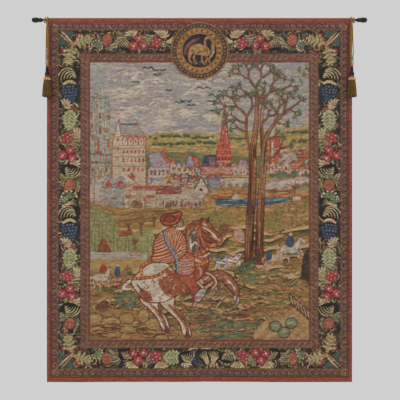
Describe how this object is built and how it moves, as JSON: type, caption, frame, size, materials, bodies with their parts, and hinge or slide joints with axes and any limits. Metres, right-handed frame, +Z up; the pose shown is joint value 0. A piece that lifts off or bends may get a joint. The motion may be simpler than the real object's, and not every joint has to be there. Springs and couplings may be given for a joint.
{
  "type": "tapestry wall hanging",
  "caption": "Lined woven tapestry hanging from a black rod with cast bud finials, a gold cord and tassel looped over each end; a bordered landscape scene with a round medallion.",
  "frame": {"origin": "on the rod's axis, at the middle of its length", "axes": "+X along the rod to the right as the picture is looked at, +Y to the wall behind it, +Z up; the picture faces -Y and hangs down -Z"},
  "size_m": [1.478, 0.0682, 1.6062],
  "materials": {
    "black_iron": "satin black paint over iron",
    "plain_steel": "plain machined",
    "woven_picture": "jacquard weave, matt",
    "lining_cotton": "plain weave, matt",
    "sewing_thread": "spun thread, matt",
    "gold_cord": "twisted rayon cord, soft sheen",
    "gloss_black_wood": "turned, gloss black lacquer",
    "plain_wood": "bare, sealed inside the skirt",
    "gold_gimp": "wound and looped rayon, soft sheen",
    "skirt_fringe": "cut rayon fringe, soft sheen"
  },
  "bodies": {
    "rod": {"rod_tube": "black_iron", "rod_insert_left": "plain_steel", "rod_insert_right": "plain_steel"},
    "cloth": {"woven_cloth": "woven_picture", "lining": "lining_cotton", "tunnel_stitches": "sewing_thread", "lining_stitches": "sewing_thread"},
    "loop_left": {"cord_wrap_left": "gold_cord", "upper_knot_left": "gold_cord"},
    "cord_left": {"strand_a_left": "gold_cord", "strand_b_left": "gold_cord", "middle_knot_left": "gold_cord", "cord_tail_left": "gold_cord", "stopper_knot_left": "gold_cord"},
    "tassel_left": {"tassel_head_left": "gloss_black_wood", "tassel_collar_left": "gold_gimp", "tassel_ruff_left": "gold_gimp", "tassel_mould_left": "plain_wood", "tassel_skirt_left": "skirt_fringe"},
    "finial_left": {"finial_left": "black_iron", "finial_stud_left": "plain_steel"},
    "loop_right": {"cord_wrap_right": "gold_cord", "upper_knot_right": "gold_cord"},
    "cord_right": {"strand_a_right": "gold_cord", "strand_b_right": "gold_cord", "middle_knot_right": "gold_cord", "cord_tail_right": "gold_cord", "stopper_knot_right": "gold_cord"},
    "tassel_right": {"tassel_head_right": "gloss_black_wood", "tassel_collar_right": "gold_gimp", "tassel_ruff_right": "gold_gimp", "tassel_mould_right": "plain_wood", "tassel_skirt_right": "skirt_fringe"},
    "finial_right": {"finial_right": "black_iron", "finial_stud_right": "plain_steel"}
  },
  "joints": [
    {"name": "cloth_swing", "type": "hinge", "parent": "rod", "child": "cloth", "pos_m": [0, 0, 0], "axis": [-1, 0, 0], "range_deg": [0, 75]},
    {"name": "loop_swing_left", "type": "hinge", "parent": "cloth", "child": "loop_left", "pos_m": [-0.6675, 0, 0], "axis": [-1, 0, 0], "range_deg": [0, 55]},
    {"name": "cord_swing_left", "type": "hinge", "parent": "loop_left", "child": "cord_left", "pos_m": [-0.6675, -0.017, -0.021], "axis": [0, 1, 0], "range_deg": [-25, 25]},
    {"name": "tassel_turn_left", "type": "hinge", "parent": "cord_left", "child": "tassel_left", "pos_m": [-0.6675, -0.017, -0.021], "axis": [0, 0.0479, 0.9989], "range_deg": [-180, 180]},
    {"name": "finial_pull_left", "type": "slide", "parent": "rod", "child": "finial_left", "axis": [-1, 0, 0], "range_m": [0, 0.03]},
    {"name": "loop_swing_right", "type": "hinge", "parent": "cloth", "child": "loop_right", "pos_m": [0.6675, 0, 0], "axis": [-1, 0, 0], "range_deg": [0, 55]},
    {"name": "cord_swing_right", "type": "hinge", "parent": "loop_right", "child": "cord_right", "pos_m": [0.6675, -0.017, -0.021], "axis": [0, 1, 0], "range_deg": [-25, 25]},
    {"name": "tassel_turn_right", "type": "hinge", "parent": "cord_right", "child": "tassel_right", "pos_m": [0.6675, -0.017, -0.021], "axis": [0, 0.0479, 0.9989], "range_deg": [-180, 180]},
    {"name": "finial_pull_right", "type": "slide", "parent": "rod", "child": "finial_right", "axis": [1, 0, 0], "range_m": [0, 0.03]}
  ]
}
